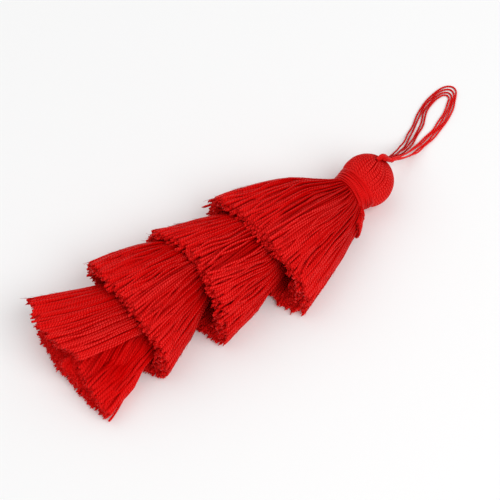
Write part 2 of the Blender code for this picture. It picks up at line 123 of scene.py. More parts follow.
# -------- camera, first
AZIMUTH = math.radians(-35)
ELEVATION = math.radians(59)
DISTANCE = 0.323
TARGET = (0.0044, 0.00014, 0.0085)


def new_object(name, data):
    item = bpy.data.objects.new(name, data)
    bpy.context.scene.collection.objects.link(item)
    return item


def make_camera():
    away = np.array([
        math.sin(AZIMUTH) * math.cos(ELEVATION),
        -math.cos(AZIMUTH) * math.cos(ELEVATION),
        math.sin(ELEVATION),
    ])
    data = bpy.data.cameras.new("camera")
    data.lens = 100
    data.sensor_width = 36
    data.clip_start = 0.01
    item = new_object("camera", data)
    item.location = np.array(TARGET) + away * DISTANCE
    item.rotation_euler = (math.pi / 2 - ELEVATION, 0, AZIMUTH)
    bpy.context.scene.camera = item


make_camera()


# -------- small tools
def mix(a, b, t):
    return a + (b - a) * t


def smooth(t):
    """Eases from 0 to 1 as t goes from 0 to 1."""
    t = np.clip(t, 0.0, 1.0)
    return t * t * (3 - 2 * t)


def ease(x, start, span):
    return smooth((x - start) / span)


def close_to(x, place, reach):
    """1 at the place, and 0 beyond its reach."""
    return float(smooth(1 - abs(x - place) / reach))


def hump(t):
    """Rises and falls as t goes from 0 to 1."""
    return np.sin(math.pi * np.clip(t, 0, 1))


def unit(v):
    return v / np.maximum(np.linalg.norm(v, axis=-1, keepdims=True), 1e-12)


def turn_z(points, angle):
    c, s = math.cos(angle), math.sin(angle)
    x, y = points[..., 0].copy(), points[..., 1].copy()
    out = points.copy()
    out[..., 0] = c * x - s * y
    out[..., 1] = s * x + c * y
    return out


def travelled(points):
    """Distance along a path of each of its points."""
    return np.concatenate([[0], np.cumsum(np.linalg.norm(np.diff(points, axis=0), axis=1))])


def seat(skirt):
    """The way a hank is turned about the upright, and where its root is."""
    turn = math.atan2(skirt.root_y - skirt.rim_y, skirt.reach)
    root = np.array([BODY_LENGTH / 2 - skirt.root, FOOTPRINT_SHIFT + skirt.root_y, SPINE_HEIGHT])
    return turn, root


HEAD_TURN, HEAD_ROOT = seat(SKIRTS[0])
POLE = np.array([
    math.cos(POLE_RISE) * math.cos(POLE_TURN),
    math.cos(POLE_RISE) * math.sin(POLE_TURN),
    math.sin(POLE_RISE),
])


# -------- thread material
class Tree:
    """A material's nodes, with a short call for each kind used here."""

    def __init__(self, material):
        material.use_nodes = True
        self.nodes = material.node_tree.nodes
        self.links = material.node_tree.links
        self.shader = self.nodes["Principled BSDF"]

    def node(self, kind, **values):
        item = self.nodes.new(kind)
        for key, value in values.items():
            setattr(item, key, value)
        return item

    def feed(self, slot, value):
        """Sets a socket to a number or colour, or links another to it."""
        if isinstance(value, (int, float, tuple)):
            slot.default_value = value
        else:
            self.links.new(value, slot)

    def maths(self, operation, a, b=None, clamp=False):
        item = self.node("ShaderNodeMath", operation=operation, use_clamp=clamp)
        self.feed(item.inputs[0], a)
        if b is not None:
            self.feed(item.inputs[1], b)
        return item.outputs[0]

    add = partialmethod(maths, "ADD")
    times = partialmethod(maths, "MULTIPLY")
    minus = partialmethod(maths, "SUBTRACT")
    over = partialmethod(maths, "DIVIDE")

    def ramp(self, value, start, end):
        """0 where the value is at start, and 1 where it is at end."""
        return self.over(self.minus(value, start), end - start, clamp=True)

    def mixed(self, factor, a, b):
        item = self.node("ShaderNodeMix", data_type="RGBA")
        for slot, value in zip((item.inputs[0], item.inputs[6], item.inputs[7]), (factor, a, b)):
            self.feed(slot, value)
        return item.outputs[2]

    def noise(self, dimensions, scale, detail, *place):
        where = self.node("ShaderNodeCombineXYZ")
        for slot, value in zip(where.inputs, place):
            self.feed(slot, value)
        item = self.node("ShaderNodeTexNoise", noise_dimensions=dimensions)
        item.inputs["Scale"].default_value = scale
        item.inputs["Detail"].default_value = detail
        self.feed(item.inputs["Vector"], where.outputs[0])
        return item.outputs[0]


def darker(colour, share):
    return tuple(share * c for c in colour[:3]) + (1.0,)


# noise of fibres, and slow noise along a thread: scale and detail, stretch, and how far apart two threads are
FIBRE_NOISE = (1.6, 3.0)
FIBRE_ALONG = 0.35
FIBRE_ROUND = 9.0
FIBRE_LEAD = 2.2
FIBRE_HEIGHT = 0.35
FIBRE_APART = 40.0
SLOW_NOISE = (1.0, 1.0)
SLOW_ALONG = 0.3
SLOW_APART = 71.0
# the painted highlight: a gleam along the crest
GLEAM_FIBRES = 1.9
GLEAM_BREAKS = -0.10
GLEAM_LEFT = 0.06
GLEAM_SHARPNESS = 1.9
GLEAM_STRENGTH = 1.25
# how its own number and the slow noise make a thread's painted highlight stronger, or the thread darker
SHINE = (1.1, 1.6)
UNEVEN = (0.8, 0.6)
UNEVEN_FROM = 0.45
PLY_CONTRAST = 0.9
# cosines of the angles at which the flanks' shade starts and is full
FLANK = (0.60, -0.50)
FLANK_SHADE = 0.55
UNEVEN_SHADE = 0.66
DEEP_SHADE = 0.72
ROOT_SHADE = 0.50
# shares of the length between which the painted deep shade fades, and over which the cut end is brightened by
# paler loose fibres and a painted highlight
DEEP_STRENGTH = 0.5
DEEP_END = (0.80, 0.95)
LOOSE_SPAN = (0.40, 1.0)
LOOSE_STRENGTH = 0.60
LOOSE_DARK = (0.64, 0.0003, 0.0003, 1.0)
LOOSE_LIGHT = (1.0, 0.022, 0.020, 1.0)


def thread_material(
    name, lit, body, crease, lead=1.35, relief=0.00007, ridge=1.6, flank=0.34, spread=0.84,
    root=0.0, root_reach=0.55,
):
    """Two-ply twisted thread, with u along it in millimetres and v once round it.

    lead is a turn of the twist, relief the plies' height, ridge their sharpness, flank how much painted shade
    the sides get, spread the cosine where the painted highlight ends, root how much painted shade lies at the
    root and root_reach how far that goes.
    """
    material = bpy.data.materials.new(name)
    t = Tree(material)
    place = t.node("ShaderNodeSeparateXYZ")
    t.feed(place.inputs[0], t.node("ShaderNodeUVMap", uv_map="thread").outputs[0])
    u, v = place.outputs[0], place.outputs[1]
    strand = t.node("ShaderNodeAttribute", attribute_name="strand")
    tones = t.node("ShaderNodeSeparateColor")
    t.feed(tones.inputs[0], strand.outputs[0])
    own, along, deep = tones.outputs
    # plies: two rounded ridges winding round the thread
    wind = t.add(t.over(u, lead), t.add(v, strand.outputs["Alpha"]))
    ply = t.maths("ABSOLUTE", t.maths("COSINE", t.times(wind, math.tau)))
    ply = t.maths("POWER", ply, ridge)
    winding = t.times(t.minus(v, t.over(u, FIBRE_LEAD)), FIBRE_ROUND)
    fibre = t.noise("3D", *FIBRE_NOISE, t.times(u, FIBRE_ALONG), winding, t.times(own, FIBRE_APART))
    slow = t.noise("2D", *SLOW_NOISE, t.times(u, SLOW_ALONG), t.times(own, SLOW_APART))
    bump = t.node("ShaderNodeBump")
    bump.inputs["Strength"].default_value = 1.0
    bump.inputs["Distance"].default_value = relief
    t.feed(bump.inputs["Height"], t.add(ply, t.times(fibre, FIBRE_HEIGHT)))
    t.feed(t.shader.inputs["Normal"], bump.outputs[0])
    # a painted highlight, narrow and broken, along the crest, and painted shade on the darker flanks
    crest = t.maths("COSINE", t.times(v, math.tau))
    dash = t.times(ply, t.add(t.times(fibre, GLEAM_FIBRES), GLEAM_BREAKS))
    shine = t.add(t.times(own, SHINE[0]), t.times(slow, SHINE[1]))
    gleam = t.times(t.add(dash, GLEAM_LEFT), shine)
    gleam = t.times(gleam, t.ramp(crest, spread, 1.0), clamp=True)
    gleam = t.times(t.maths("POWER", gleam, GLEAM_SHARPNESS), GLEAM_STRENGTH, clamp=True)
    # painted shade in the crease between the plies, where the ply is low
    raised = t.add(t.times(ply, PLY_CONTRAST), 1 - PLY_CONTRAST, clamp=True)
    colour = t.mixed(gleam, t.mixed(raised, crease, body), lit)
    colour = t.mixed(t.times(t.ramp(crest, *FLANK), flank), colour, darker(body, FLANK_SHADE))
    vary = t.add(t.times(own, UNEVEN[0]), t.times(slow, UNEVEN[1]))
    colour = t.mixed(t.minus(vary, UNEVEN_FROM, clamp=True), colour, darker(body, UNEVEN_SHADE))
    # threads deep in a skirt, and near a root, lie in shade
    hollow = t.minus(DEEP_STRENGTH, t.times(t.ramp(along, *DEEP_END), DEEP_STRENGTH))
    colour = t.mixed(t.times(deep, hollow, clamp=True), colour, darker(body, DEEP_SHADE))
    bunched = t.times(t.minus(1.0, t.over(along, root_reach), clamp=True), root)
    colour = t.mixed(bunched, colour, darker(body, ROOT_SHADE))
    # towards the cut end the colour gets brighter: partly the paler loose fibres, partly painted light that
    # follows the plies and the painted highlight's strength
    loose = t.mixed(t.times(ply, shine, clamp=True), LOOSE_DARK, LOOSE_LIGHT)
    colour = t.mixed(t.times(t.ramp(along, *LOOSE_SPAN), LOOSE_STRENGTH), colour, loose)
    t.feed(t.shader.inputs["Base Color"], colour)
    t.shader.inputs["Roughness"].default_value = 0.40
    t.shader.inputs["Specular IOR Level"].default_value = 0.07
    t.shader.inputs["Specular Tint"].default_value = (1.0, 0.16, 0.15, 1.0)
    return material


# the hanks' painted highlight, the thread itself and the painted shade in the crease between its plies
HANK_COLOURS = ((1.0, 0.062, 0.056, 1.0), (0.70, 0.0002, 0.0002, 1.0), (0.36, 0.0001, 0.0001, 1.0))
LOOP_LEAD = 1.4

# root: painted shade where the threads bunch at a skirt's root and round the crown
hank_material = thread_material("hank_thread", *HANK_COLOURS, root=0.58)
ball_material = thread_material("hank_thread_ball", *HANK_COLOURS, root=0.65, root_reach=0.28)
# the materials below also give, in order, a painted highlight, the thread itself and a painted crease shade
loose_material = thread_material(
    "hank_thread_loose", (0.84, 0.016, 0.015, 1.0), (0.70, 0.0004, 0.0004, 1.0), (0.56, 0.0003, 0.0003, 1.0),
    relief=0.00003, flank=0.12, spread=0.6,
)
wound_material = thread_material(
    "binding_thread", (0.86, 0.024, 0.022, 1.0), (0.72, 0.0010, 0.0010, 1.0), (0.60, 0.0006, 0.0006, 1.0),
    lead=1.0, relief=0.00001, flank=0.30, spread=0.4,
)
# the loop gets painted shade near its root, where it leaves the crown
loop_material = thread_material(
    "loop_thread", (1.0, 0.030, 0.030, 1.0), (0.80, 0.0018, 0.0022, 1.0), (0.42, 0.0006, 0.0008, 1.0),
    lead=LOOP_LEAD, relief=0.00003, flank=0.2, spread=0.3, root=0.85, root_reach=0.62,
)


# -------- tubes
ABOVE_SURFACE = 1.02
# cut ends take the v of the crest, and with it the crest's painted highlight
CAP_V = 0.04


class Bundle:
    """Many thread tubes gathered into one mesh."""

    def __init__(self, sides=6):
        self.sides = sides
        self.points, self.quads, self.caps = [], [], []
        self.uv_quads, self.uv_caps, self.tone = [], [], []
        self.count = 0

    def add(self, path, radius, outward, own, deep=0.0, phase=0.0, cap=True, section=1.0):
        """One tube along a path, kept above the surface.

        outward fixes its roll, own is its own number, deep how much painted shade it gets for lying deep,
        phase where its twist starts, and section scales the radius of each vertex.
        """
        path = np.array(path, float)
        n, m = len(path), self.sides
        radius = np.broadcast_to(np.asarray(radius, float), (n,))
        path[:, 2] = np.maximum(path[:, 2], radius * ABOVE_SURFACE)
        tangent = unit(np.gradient(path, axis=0))
        normal = unit(outward - (outward * tangent).sum(1, keepdims=True) * tangent)
        side = np.cross(tangent, normal)
        theta = np.arange(m) * (math.tau / m)
        ring = radius[:, None] * np.broadcast_to(section, (n, m))
        ringed = (
            path[:, None, :]
            + (ring * np.cos(theta))[..., None] * normal[:, None, :]
            + (ring * np.sin(theta))[..., None] * side[:, None, :]
        )
        self.points.append(ringed.reshape(-1, 3))
        i = np.arange(n - 1)[:, None]
        j = np.arange(m)[None, :]
        k = (j + 1) % m
        quads = np.stack([i * m + j, i * m + k, (i + 1) * m + k, (i + 1) * m + j], -1) + self.count
        self.quads.append(quads.reshape(-1, 4))
        along = travelled(path) / MM
        u0, u1, v0 = np.broadcast_arrays(along[:-1, None], along[1:, None], j / m)
        v1 = v0 + 1 / m
        corners = [np.stack(corner, -1) for corner in ((u0, v0), (u0, v1), (u1, v1), (u1, v0))]
        self.uv_quads.append(np.stack(corners, -2).reshape(-1, 2))
        if cap:
            self.caps.append((n - 1) * m + np.arange(m) + self.count)
            self.uv_caps.append(np.stack([np.full(m, along[-1]), np.full(m, CAP_V)], -1))
        deep = np.broadcast_to(np.asarray(deep, float), (n,))
        tone = np.stack([np.full(n, own), np.linspace(0, 1, n), deep, np.full(n, phase)], -1)
        self.tone.append(np.repeat(tone, m, axis=0))
        self.count += n * m

    def mesh(self, name):
        points = np.concatenate(self.points)
        quads = np.concatenate(self.quads)
        caps = np.array(self.caps).reshape(-1, self.sides)
        loops = np.concatenate([quads.reshape(-1), caps.reshape(-1)])
        sizes = np.concatenate([np.full(len(quads), 4), np.full(len(caps), self.sides)])
        starts = np.concatenate([[0], np.cumsum(sizes)[:-1]])
        mesh = bpy.data.meshes.new(name)
        mesh.vertices.add(len(points))
        mesh.vertices.foreach_set("co", points.astype(np.float32).reshape(-1))
        mesh.loops.add(len(loops))
        mesh.loops.foreach_set("vertex_index", loops.astype(np.int32))
        mesh.polygons.add(len(sizes))
        mesh.polygons.foreach_set("loop_start", starts.astype(np.int32))
        mesh.update(calc_edges=True)
        uv = np.concatenate(self.uv_quads + self.uv_caps)
        mesh.uv_layers.new(name="thread").data.foreach_set("uv", uv.astype(np.float32).reshape(-1))
        tone = mesh.color_attributes.new("strand", "FLOAT_COLOR", "POINT")
        tone.data.foreach_set("color", np.concatenate(self.tone).astype(np.float32).reshape(-1))
        rounded = np.concatenate([np.ones(len(quads), bool), np.zeros(len(caps), bool)])
        mesh.polygons.foreach_set("use_smooth", rounded)
        mesh.validate()
        return mesh

    def build(self, name, material, node, slot):
        """The tubes as one piece, which stands for a CAD node."""
        mesh = self.mesh(name)
        mesh.materials.append(material)
        item = new_object(name, mesh)
        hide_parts(node)
        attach(item, "root")
        return item


# -------- loop
LOOP_SEED = 50
LOOP_SPACING = 0.00015
LOOP_SIDES = 12
ROUTE_STEPS = 12
ROOT_GAP = 0.00075
# how much each thread draws in near the crown, and how far its far arm hangs inward
LOOP_GATHER = (0.30, 0.30, 0.42, 0.42)
LOOP_GATHER_REACH = 9 * MM
LOOP_CLOSER = 0.35
LOOP_INWARD = (0.26, 0.26, 0.38, 0.38)
LOOP_INWARD_FROM = 0.08
LOOP_INWARD_SPAN = 0.36
# waves across the route: size, length and each thread's step from the last
LOOP_WAVES = ((0.06, 8.3, 0.0), (0.05, 6.1, 1.7))
PLY_WAIST = 0.78
PLY_SWELL = 0.26
LOOP_FULLNESS = 1.03
A_TURN = 6.28


def curve_through(route, heights):
    """Evenly spaced points of a smooth curve through a route, and its length."""
    level = [RESTING_HEIGHT] * (len(route) - 2 * len(heights))
    points = np.column_stack([route, [*heights, *level, *heights[::-1]]]) * MM
    ends = np.vstack([2 * points[0] - points[1], points, 2 * points[-1] - points[-2]])
    fine = []
    for before, a, b, after in zip(ends, ends[1:], ends[2:], ends[3:]):
        for t in np.arange(ROUTE_STEPS) / ROUTE_STEPS:
            fine.append(0.5 * (2 * a + (b - before) * t + (2 * before - 5 * a + 4 * b - after) * t**2
                               + (3 * a - before - 3 * b + after) * t**3))
    fine.append(points[-1])
    fine = np.array(fine)
    along = travelled(fine)
    even = np.linspace(0, along[-1], int(round(along[-1] / LOOP_SPACING)) + 1)
    return np.stack([np.interp(even, along, fine[:, k]) for k in range(3)], -1), along[-1]


def dress_loop():
    """The loop's four threads. Gives each one's piece, centre line and length."""
    made = []
    theta = np.arange(LOOP_SIDES) * (math.tau / LOOP_SIDES)
    for number, (route, gather, inward) in enumerate(zip(ROUTES, LOOP_GATHER, LOOP_INWARD), start=1):
        rng = default_rng(LOOP_SEED + number)
        centre, length = curve_through(route, ROUTE_HEIGHTS[(number - 1) % 2])
        along = np.linspace(0, length, len(centre))
        gathered = 1 - smooth(np.minimum(along, length - along) / LOOP_GATHER_REACH)
        centre[:, 1] *= 1 - gather * gathered
        wander = sum(
            size * np.sin(math.tau * along / (wave * MM) + step * number) for size, wave, step in LOOP_WAVES
        )
        centre[:, 1] += wander * MM * (1 - gathered)
        centre[:, 1] -= inward * MM * hump((along / length - LOOP_INWARD_FROM) / LOOP_INWARD_SPAN)
        # the upper and the lower pair lie closer together near the crown
        centre[:, 2] += (0.5 - number % 2) * ROOT_GAP * LOOP_CLOSER * gathered
        centre = turn_z(centre, LOOP_TURN) + np.array([*LOOP_START, 0.0])
        tangent = unit(np.gradient(centre, axis=0))
        side = unit(np.cross(tangent, np.broadcast_to([0.0, 0.0, 1.0], tangent.shape)))
        wind = math.tau * along / (LOOP_LEAD * MM) + rng.uniform(0, A_TURN)
        section = PLY_WAIST + PLY_SWELL * np.abs(np.cos(theta[None, :] - wind[:, None]))
        bundle = Bundle(LOOP_SIDES)
        size = LOOP_THREAD_RADIUS * LOOP_FULLNESS
        bundle.add(centre, size, np.cross(side, tangent), rng.random(), section=section)
        item = bundle.build(f"loop_strand_{number}", loop_material, f"loop_thread_{number}", "loop_thread")
        made.append((item, centre, length))
    return made


# -------- crown
CROWN_SEED = 61
CROWN_THREAD = 0.00024
CROWN_STATIONS = 21
# into the ball: along the crown, share of the thread's own offset, and outward
INTO_BALL = ((-0.0030, 0.5, -0.0013), (-0.0016, 0.9, -0.0001), (-0.0003, 1.0, 0.0), (0.0009, 1.0, 0.0))
NEAR_INTO_BALL = ((-0.0018, 0.6, -0.0004), (-0.0004, 1.0, 0.0), (0.0009, 1.0, 0.0))
# the threads' offset across the crown and outward, and the step to the next
ACROSS = (0.00014, 0.00034)
OUTWARD = (0.00020, -0.00036)
SWELL = 0.42
SWELL_REACH = 4.2
# more threads on the near side: how far across and how far under the others
NEAR_THREADS = ((0.00078, 0.0), (0.00078, 0.00040), (0.00112, 0.00030))
# short threads in the wedge where the loop parts: shares of the way across it
WEDGE_SHARES = (0.12, 0.37, 0.63, 0.88)
WEDGE_LONGEST_AT = 0.6
WEDGE_POINTS = (16, 11)


def through(route):
    """Smoothed points along a short route, and their places counted in its points."""
    t = np.linspace(0, len(route) - 1, CROWN_STATIONS)
    points = np.stack([np.interp(t, np.arange(len(route)), route[:, c]) for c in range(3)], -1)
    for _ in range(4):
        points[1:-1] = 0.25 * points[:-2] + 0.5 * points[1:-1] + 0.25 * points[2:]
    return points, t


def dress_crown(strands):
    """The small lump where the loop's threads come out of the ball side by side."""
    rng = default_rng(CROWN_SEED)
    # outward, along and across the crown
    axis = POLE
    long = np.array([
        math.sin(POLE_RISE) * math.cos(POLE_TURN),
        math.sin(POLE_RISE) * math.sin(POLE_TURN),
        -math.cos(POLE_RISE),
    ])
    wide = np.cross(axis, long)
    centre = np.array([BALL_ADVANCE, 0.0, 0.0]) + axis * (BALL_RADIUS + CLEARANCE + KNOT_THICKNESS / 2)
    centre, axis, long, wide = (turn_z(v[None, :], HEAD_TURN)[0] for v in (centre, axis, long, wide))
    centre = centre + HEAD_ROOT
    outward = np.repeat(axis[None, :], CROWN_STATIONS, 0)

    def places(table, offset):
        return [centre + long * along + offset * share + axis * out for along, share, out in table]

    bundle = Bundle()
    for number, (_, path, _) in enumerate(strands):
        for side, end in ((1, path[:6]), (-1, path[::-1][:6])):
            offset = wide * side * (ACROSS[0] + ACROSS[1] * (number % 2))
            offset = offset + axis * (OUTWARD[0] + OUTWARD[1] * (number // 2))
            points, t = through(np.vstack([*places(INTO_BALL, offset), end[0], end[-1]]))
            size = CROWN_THREAD * (1 + SWELL * hump(t / SWELL_REACH))
            bundle.add(points, size, outward, rng.random(), phase=rng.random(), cap=False)
    near_path = strands[0][1][::-1]
    for beyond, under in NEAR_THREADS:
        points, t = through(np.vstack([
            *places(NEAR_INTO_BALL, -wide * beyond - axis * under),
            near_path[2] - wide * 0.00030 - axis * under * 0.6,
            near_path[9] - wide * 0.00012,
            near_path[15],
        ]))
        size = CROWN_THREAD * np.interp(t, (0, 2, 5), (1.0, 1.25, 0.6))
        bundle.add(points, size, outward, rng.random(), phase=rng.random())
    inner_far, inner_near = strands[3][1][:32:2], strands[3][1][::-1][:32:2]
    for share in WEDGE_SHARES:
        reach = int(round(mix(*WEDGE_POINTS, abs(share - WEDGE_LONGEST_AT))))
        bundle.add(
            mix(inner_far, inner_near, share)[:reach], np.linspace(CROWN_THREAD, 0.5 * CROWN_THREAD, reach),
            outward[:reach], rng.random(), phase=rng.random(),
        )
    return bundle.build("crown_wrap", wound_material, "crown_knot", "binding_thread")


loops = dress_loop()
crown = dress_crown(loops)


# -------- the skirts' sections
RIM_STEPS = 720
HEAD_DRAWN = 0.54
HEAD_DRAWN_REACH = 0.36
HEAD_BELLY = 0.05
DEPTH_SHARES = (-1.2, 2.2)


class Shape:
    """Places points in a skirt: share of its length, depth under its surface, angle from the far side."""

    def __init__(self, skirt):
        self.skirt = skirt
        self.turn, self.place = seat(skirt)
        self.angles = np.linspace(0, math.tau, RIM_STEPS + 1)
        y, z = self.outline(self.outer(1.0), self.angles, 1.0)
        self.travelled = np.concatenate([[0], np.cumsum(np.hypot(np.diff(y), np.diff(z)))])
        self.perimeter = self.travelled[-1]

    def fall(self, q):
        return ease(q, self.skirt.lap, FALL)

    def outer(self, q):
        """How far the surface is to the far side, to the near side, up and down."""
        s = self.skirt
        q = np.maximum(q, 0.0)
        drawn = 1.0
        if s.name == "tassel_head":
            drawn = mix(HEAD_DRAWN, 1.0, smooth(q / HEAD_DRAWN_REACH)) + HEAD_BELLY * hump(q)
        return (
            mix(ROOT_RADIUS, s.far, q**s.far_bell * drawn),
            mix(ROOT_RADIUS, s.near, q**s.near_bell),
            mix(ROOT_RADIUS, s.top, q**TOP_BELL * drawn),
            mix(ROOT_RADIUS, SPINE_HEIGHT, self.fall(q)),
        )

    def inner(self, q):
        """How far the inside of the wall is, in the same four ways."""
        s = self.skirt
        walls = (
            s.far_wall,
            s.near_wall,
            FILLED_TOP_WALL if s.filled else TOP_WALL,
            FILLED_FLOOR_WALL if s.filled else FLOOR_WALL,
        )
        grown = np.clip(q / WALL_GROWTH, 0.0, 1.0)
        return tuple(size - mix(ROOT_WALL, wall, grown) for size, wall in zip(self.outer(q), walls))

    def outline(self, section, angle, flatness):
        far, near, top, low = section
        side, rise = np.cos(angle), np.sin(angle)
        half = np.where(side > 0, far, near)
        up = np.maximum(rise, 1e-9)
        fullness = (np.abs(side) ** ROUNDNESS + up**ROUNDNESS) ** (-1 / ROUNDNESS)
        depth = np.clip(-rise / FLAT_FROM, 0.0, 1.0)
        flattened = 1 - (1 - depth) ** 2
        y = np.where(rise > 0, half * side * fullness, half * side)
        z = np.where(rise > 0, top * rise * fullness, -low * mix(-rise, flattened, flatness))
        return y, z

    def rim_angle(self, around):
        """Angle at a share of the way round the rim."""
        whole = np.floor(around)
        turned = np.interp((around - whole) * self.perimeter, self.travelled, self.angles)
        return turned + math.tau * whole

    def degrees(self, around):
        return math.degrees(float(self.rim_angle(around)))

    def wall(self, around):
        """Thickness of the wall at the rim."""
        angle = self.rim_angle(around)
        yo, zo = self.outline(self.outer(1.0), angle, 1.0)
        yi, zi = self.outline(self.inner(1.0), angle, 1.0)
        return float(np.hypot(yo - yi, zo - zi))

    def points(self, q, around, depth):
        """Local points and outward vectors. around and depth may differ at each share q."""
        s = self.skirt
        q = np.asarray(q, float)
        around = np.broadcast_to(around, q.shape)
        angle = mix(math.tau * around, self.rim_angle(around), np.clip(2 * q, 0.0, 1.0))
        flatness = self.fall(q)
        yo, zo = self.outline(self.outer(q), angle, flatness)
        yi, zi = self.outline(self.inner(q), angle, flatness)
        thick = np.maximum(np.hypot(yo - yi, zo - zi), 1e-6)
        share = np.clip(depth / thick, *DEPTH_SHARES)
        y = yo + (yi - yo) * share
        z = zo + (zi - zo) * share
        y = y + s.lean * np.maximum(q, 0) ** 2 * z / s.top
        local = np.stack([-q * s.reach, y, z], -1)
        out = np.stack([np.zeros_like(q), yo - yi, zo - zi], -1)
        return local, unit(out)

    def world(self, local):
        return turn_z(local, self.turn) + self.place

    def tip(self, around):
        """Share of the length at which the threads are cut."""
        s = self.skirt
        angle = float(self.rim_angle(around))
        trim = s.top_trim * max(0.0, math.sin(angle)) ** 2
        trim += s.near_trim * max(0.0, -math.cos(angle)) ** 2
        trim += s.far_trim * max(0.0, math.cos(angle)) ** 2
        return 1 - trim / s.reach

    def threads_in(self, layer):
        """How many threads fit round the rim in a layer."""
        return int(round((self.perimeter - LAYER_SHRINK * layer * LAYER) / PITCH))


# -------- one thread of a skirt
THREAD_RADIUS = 0.00033
PITCH = 0.00065
LAYER = 0.00048
LAYER_SHRINK = 5.5
LAYERS = 13
# shares of a thread's length where it has points, and where it has settled
STATIONS = np.array([
    -0.06, 0.0, 0.05, 0.11, 0.18, 0.26, 0.34, 0.42, 0.50, 0.58, 0.66, 0.74, 0.82, 0.89, 0.955, 0.985, 1.0,
])
SETTLED = 0.42
# threads draw together in a lock, and its outer ones lie deeper
LOCK_PULL = 0.30
LOCK_LETS_GO = 0.35
LOCK_CROWN = 0.00034
# wander across, in pitches: size, and fewest and most half waves
WANDERS = ((0.34, 0.8, 2.0), (0.24, 3.0, 5.5))
FREE_WANDER = 0.32
# wander in depth, in metres: range, size of the wave, and the free end's mean and spread
DEPTH_RANGE = (-0.00006, 0.00026)
DEPTH_WAVE = 0.00009
FREE_DEPTH = (0.00003, 0.00012)
# where the free end, the drop, the swelling end and a bulge's fading start, and their spans
FREE = (0.72, 0.28)
DROP = (0.35, 0.65)
SWELLING = (0.5, 0.5)
BULGE_FADES = (0.13, 0.24)
BULGE_RISE = 0.05
LIFT_FULL = 0.8
DRIFT_FROM = 0.35
DRIFT_SPAN = 0.6
DRIFT_MOST = 1.2
DROP_CURVE = 1.3
# thread sizes: at the root, from thread to thread, towards the end and at its last two points
ROOT_SIZE = 0.82
SIZE_RANGE = (0.90, 1.06)
END_SWELL = 0.13
END_SIZES = (0.98, 0.84)
ENDS_FRAYED = 0.42


def slow_wave(seed, share, waves):
    """Smooth noise round the skirt, about -1 to 1."""
    own = default_rng(seed)
    total = 0.0
    for n in range(1, waves + 1):
        phase = own.uniform(0, math.tau)
        total = total + math.sin(math.tau * n * share + phase) * own.uniform(0.4, 1.0)
    return total / math.sqrt(waves)


def locks(rng, count):
    """Each thread's lock's centre, its place in that lock and the lock's number."""
    centre, place, number = np.zeros(count), np.zeros(count), np.zeros(count, int)
    start, n = 0, 0
    while start < count:
        size = min(int(rng.integers(2, 6)), count - start)
        for k in range(size):
            centre[start + k] = (start + (size - 1) / 2) / count
            place[start + k] = (2 * k - (size - 1)) / max(1, size)
            number[start + k] = n
        start, n = start + size, n + 1
    return centre, place, number


def fray(bundle, rng, path, out, radius, own, deep):
    """The two plies of a cut end, standing a little apart."""
    end = path[-1]
    ahead = unit(path[-1] - path[-2])
    side = np.cross(ahead, out[-1])
    for sign in (-1, 1):
        lead = ahead + side * sign * rng.uniform(0.10, 0.45) + out[-1] * rng.normal(0, 0.25)
        length = rng.uniform(0.0002, 0.0006)
        points = np.array([
            end - ahead * 0.0003 + side * sign * radius * 0.4,
            end + side * sign * radius * 0.45,
            end + side * sign * radius * 0.5 + unit(lead) * length,
        ])
        sizes = radius * np.array([0.5, 0.46, 0.28])
        bundle.add(points, sizes, np.repeat(out[-1:], 3, 0), own, deep=deep, phase=rng.random())


def wave(rng, span, fewest, most):
    return np.sin(span * rng.uniform(fewest, most) + rng.uniform(0, A_TURN))


def drifting(q):
    return np.clip((q - DRIFT_FROM) / DRIFT_SPAN, 0, DRIFT_MOST)


def lay(
    shape, bundle, rng, around, depth, tip, stack=0.0, lock=None, stray=1.0, deep=0.0, drop=0.0, drift=0.0,
    hidden=False, ends=ENDS_FRAYED, lift=0.0, thin=1.0, bulge=0.0,
):
    """One thread of a skirt, at a share of the way round it, cut at the share tip of its length.

    stack is how much deeper its root lies, lock its lock's centre and its place there, stray how far it
    wanders and ends the chance of a frayed end. drift moves its end round the rim, lift raises it, drop lets
    it sag and bulge raises it near the binding. A hidden thread has no root.
    """
    q = (STATIONS[STATIONS >= SETTLED] if hidden else STATIONS) * tip
    if not hidden:
        q[0] = STATIONS[0]
    settled = smooth(q / SETTLED)
    span = math.pi * np.clip(q, 0, 1)
    path_around = np.full(q.shape, around)
    own_depth = np.full(q.shape, depth) + stack * (1 - settled)
    if lock is not None:
        centre, place = lock
        pull = LOCK_PULL * np.clip(q * 2.2, 0, 1) * (1 - LOCK_LETS_GO * q)
        path_around = centre + (around - centre) * (1 - pull)
        own_depth = own_depth + LOCK_CROWN * place * place * np.clip(q * 3, 0, 1)
    lateral = PITCH / shape.perimeter * stray
    path_around = path_around + lateral * sum(
        rng.normal(0, size) * wave(rng, span, fewest, most) for size, fewest, most in WANDERS
    )
    free = ease(q / tip, *FREE)
    path_around = path_around + lateral * rng.normal(0, FREE_WANDER) * free + drift * drifting(q)
    own_depth = own_depth + rng.uniform(*DEPTH_RANGE) * stray
    own_depth = own_depth + DEPTH_WAVE * stray * wave(rng, span, 1, 4)
    own_depth = own_depth - rng.normal(*FREE_DEPTH) * free * stray - lift * smooth(q / (LIFT_FULL * tip))
    own_depth = own_depth - bulge * smooth(q / BULGE_RISE) * (1 - ease(q, *BULGE_FADES))
    local, out = shape.points(q, path_around, own_depth)
    if drop:
        local[:, 2] -= drop * ease(q / tip, *DROP) ** DROP_CURVE
    radius = THREAD_RADIUS * thin * mix(ROOT_SIZE, 1.0, settled) * rng.uniform(*SIZE_RANGE)
    radius = radius * (1 + END_SWELL * ease(q / tip, *SWELLING))
    own = rng.random()
    path = shape.world(local)
    out = turn_z(out, shape.turn)
    path[:, 2] = np.maximum(path[:, 2], radius * ABOVE_SURFACE)
    radius[-2:] *= END_SIZES
    frayed = rng.random() < ends
    bundle.add(path, radius, out, own, deep=deep, phase=rng.random())
    if frayed:
        fray(bundle, rng, path, out, THREAD_RADIUS * thin, own, deep)


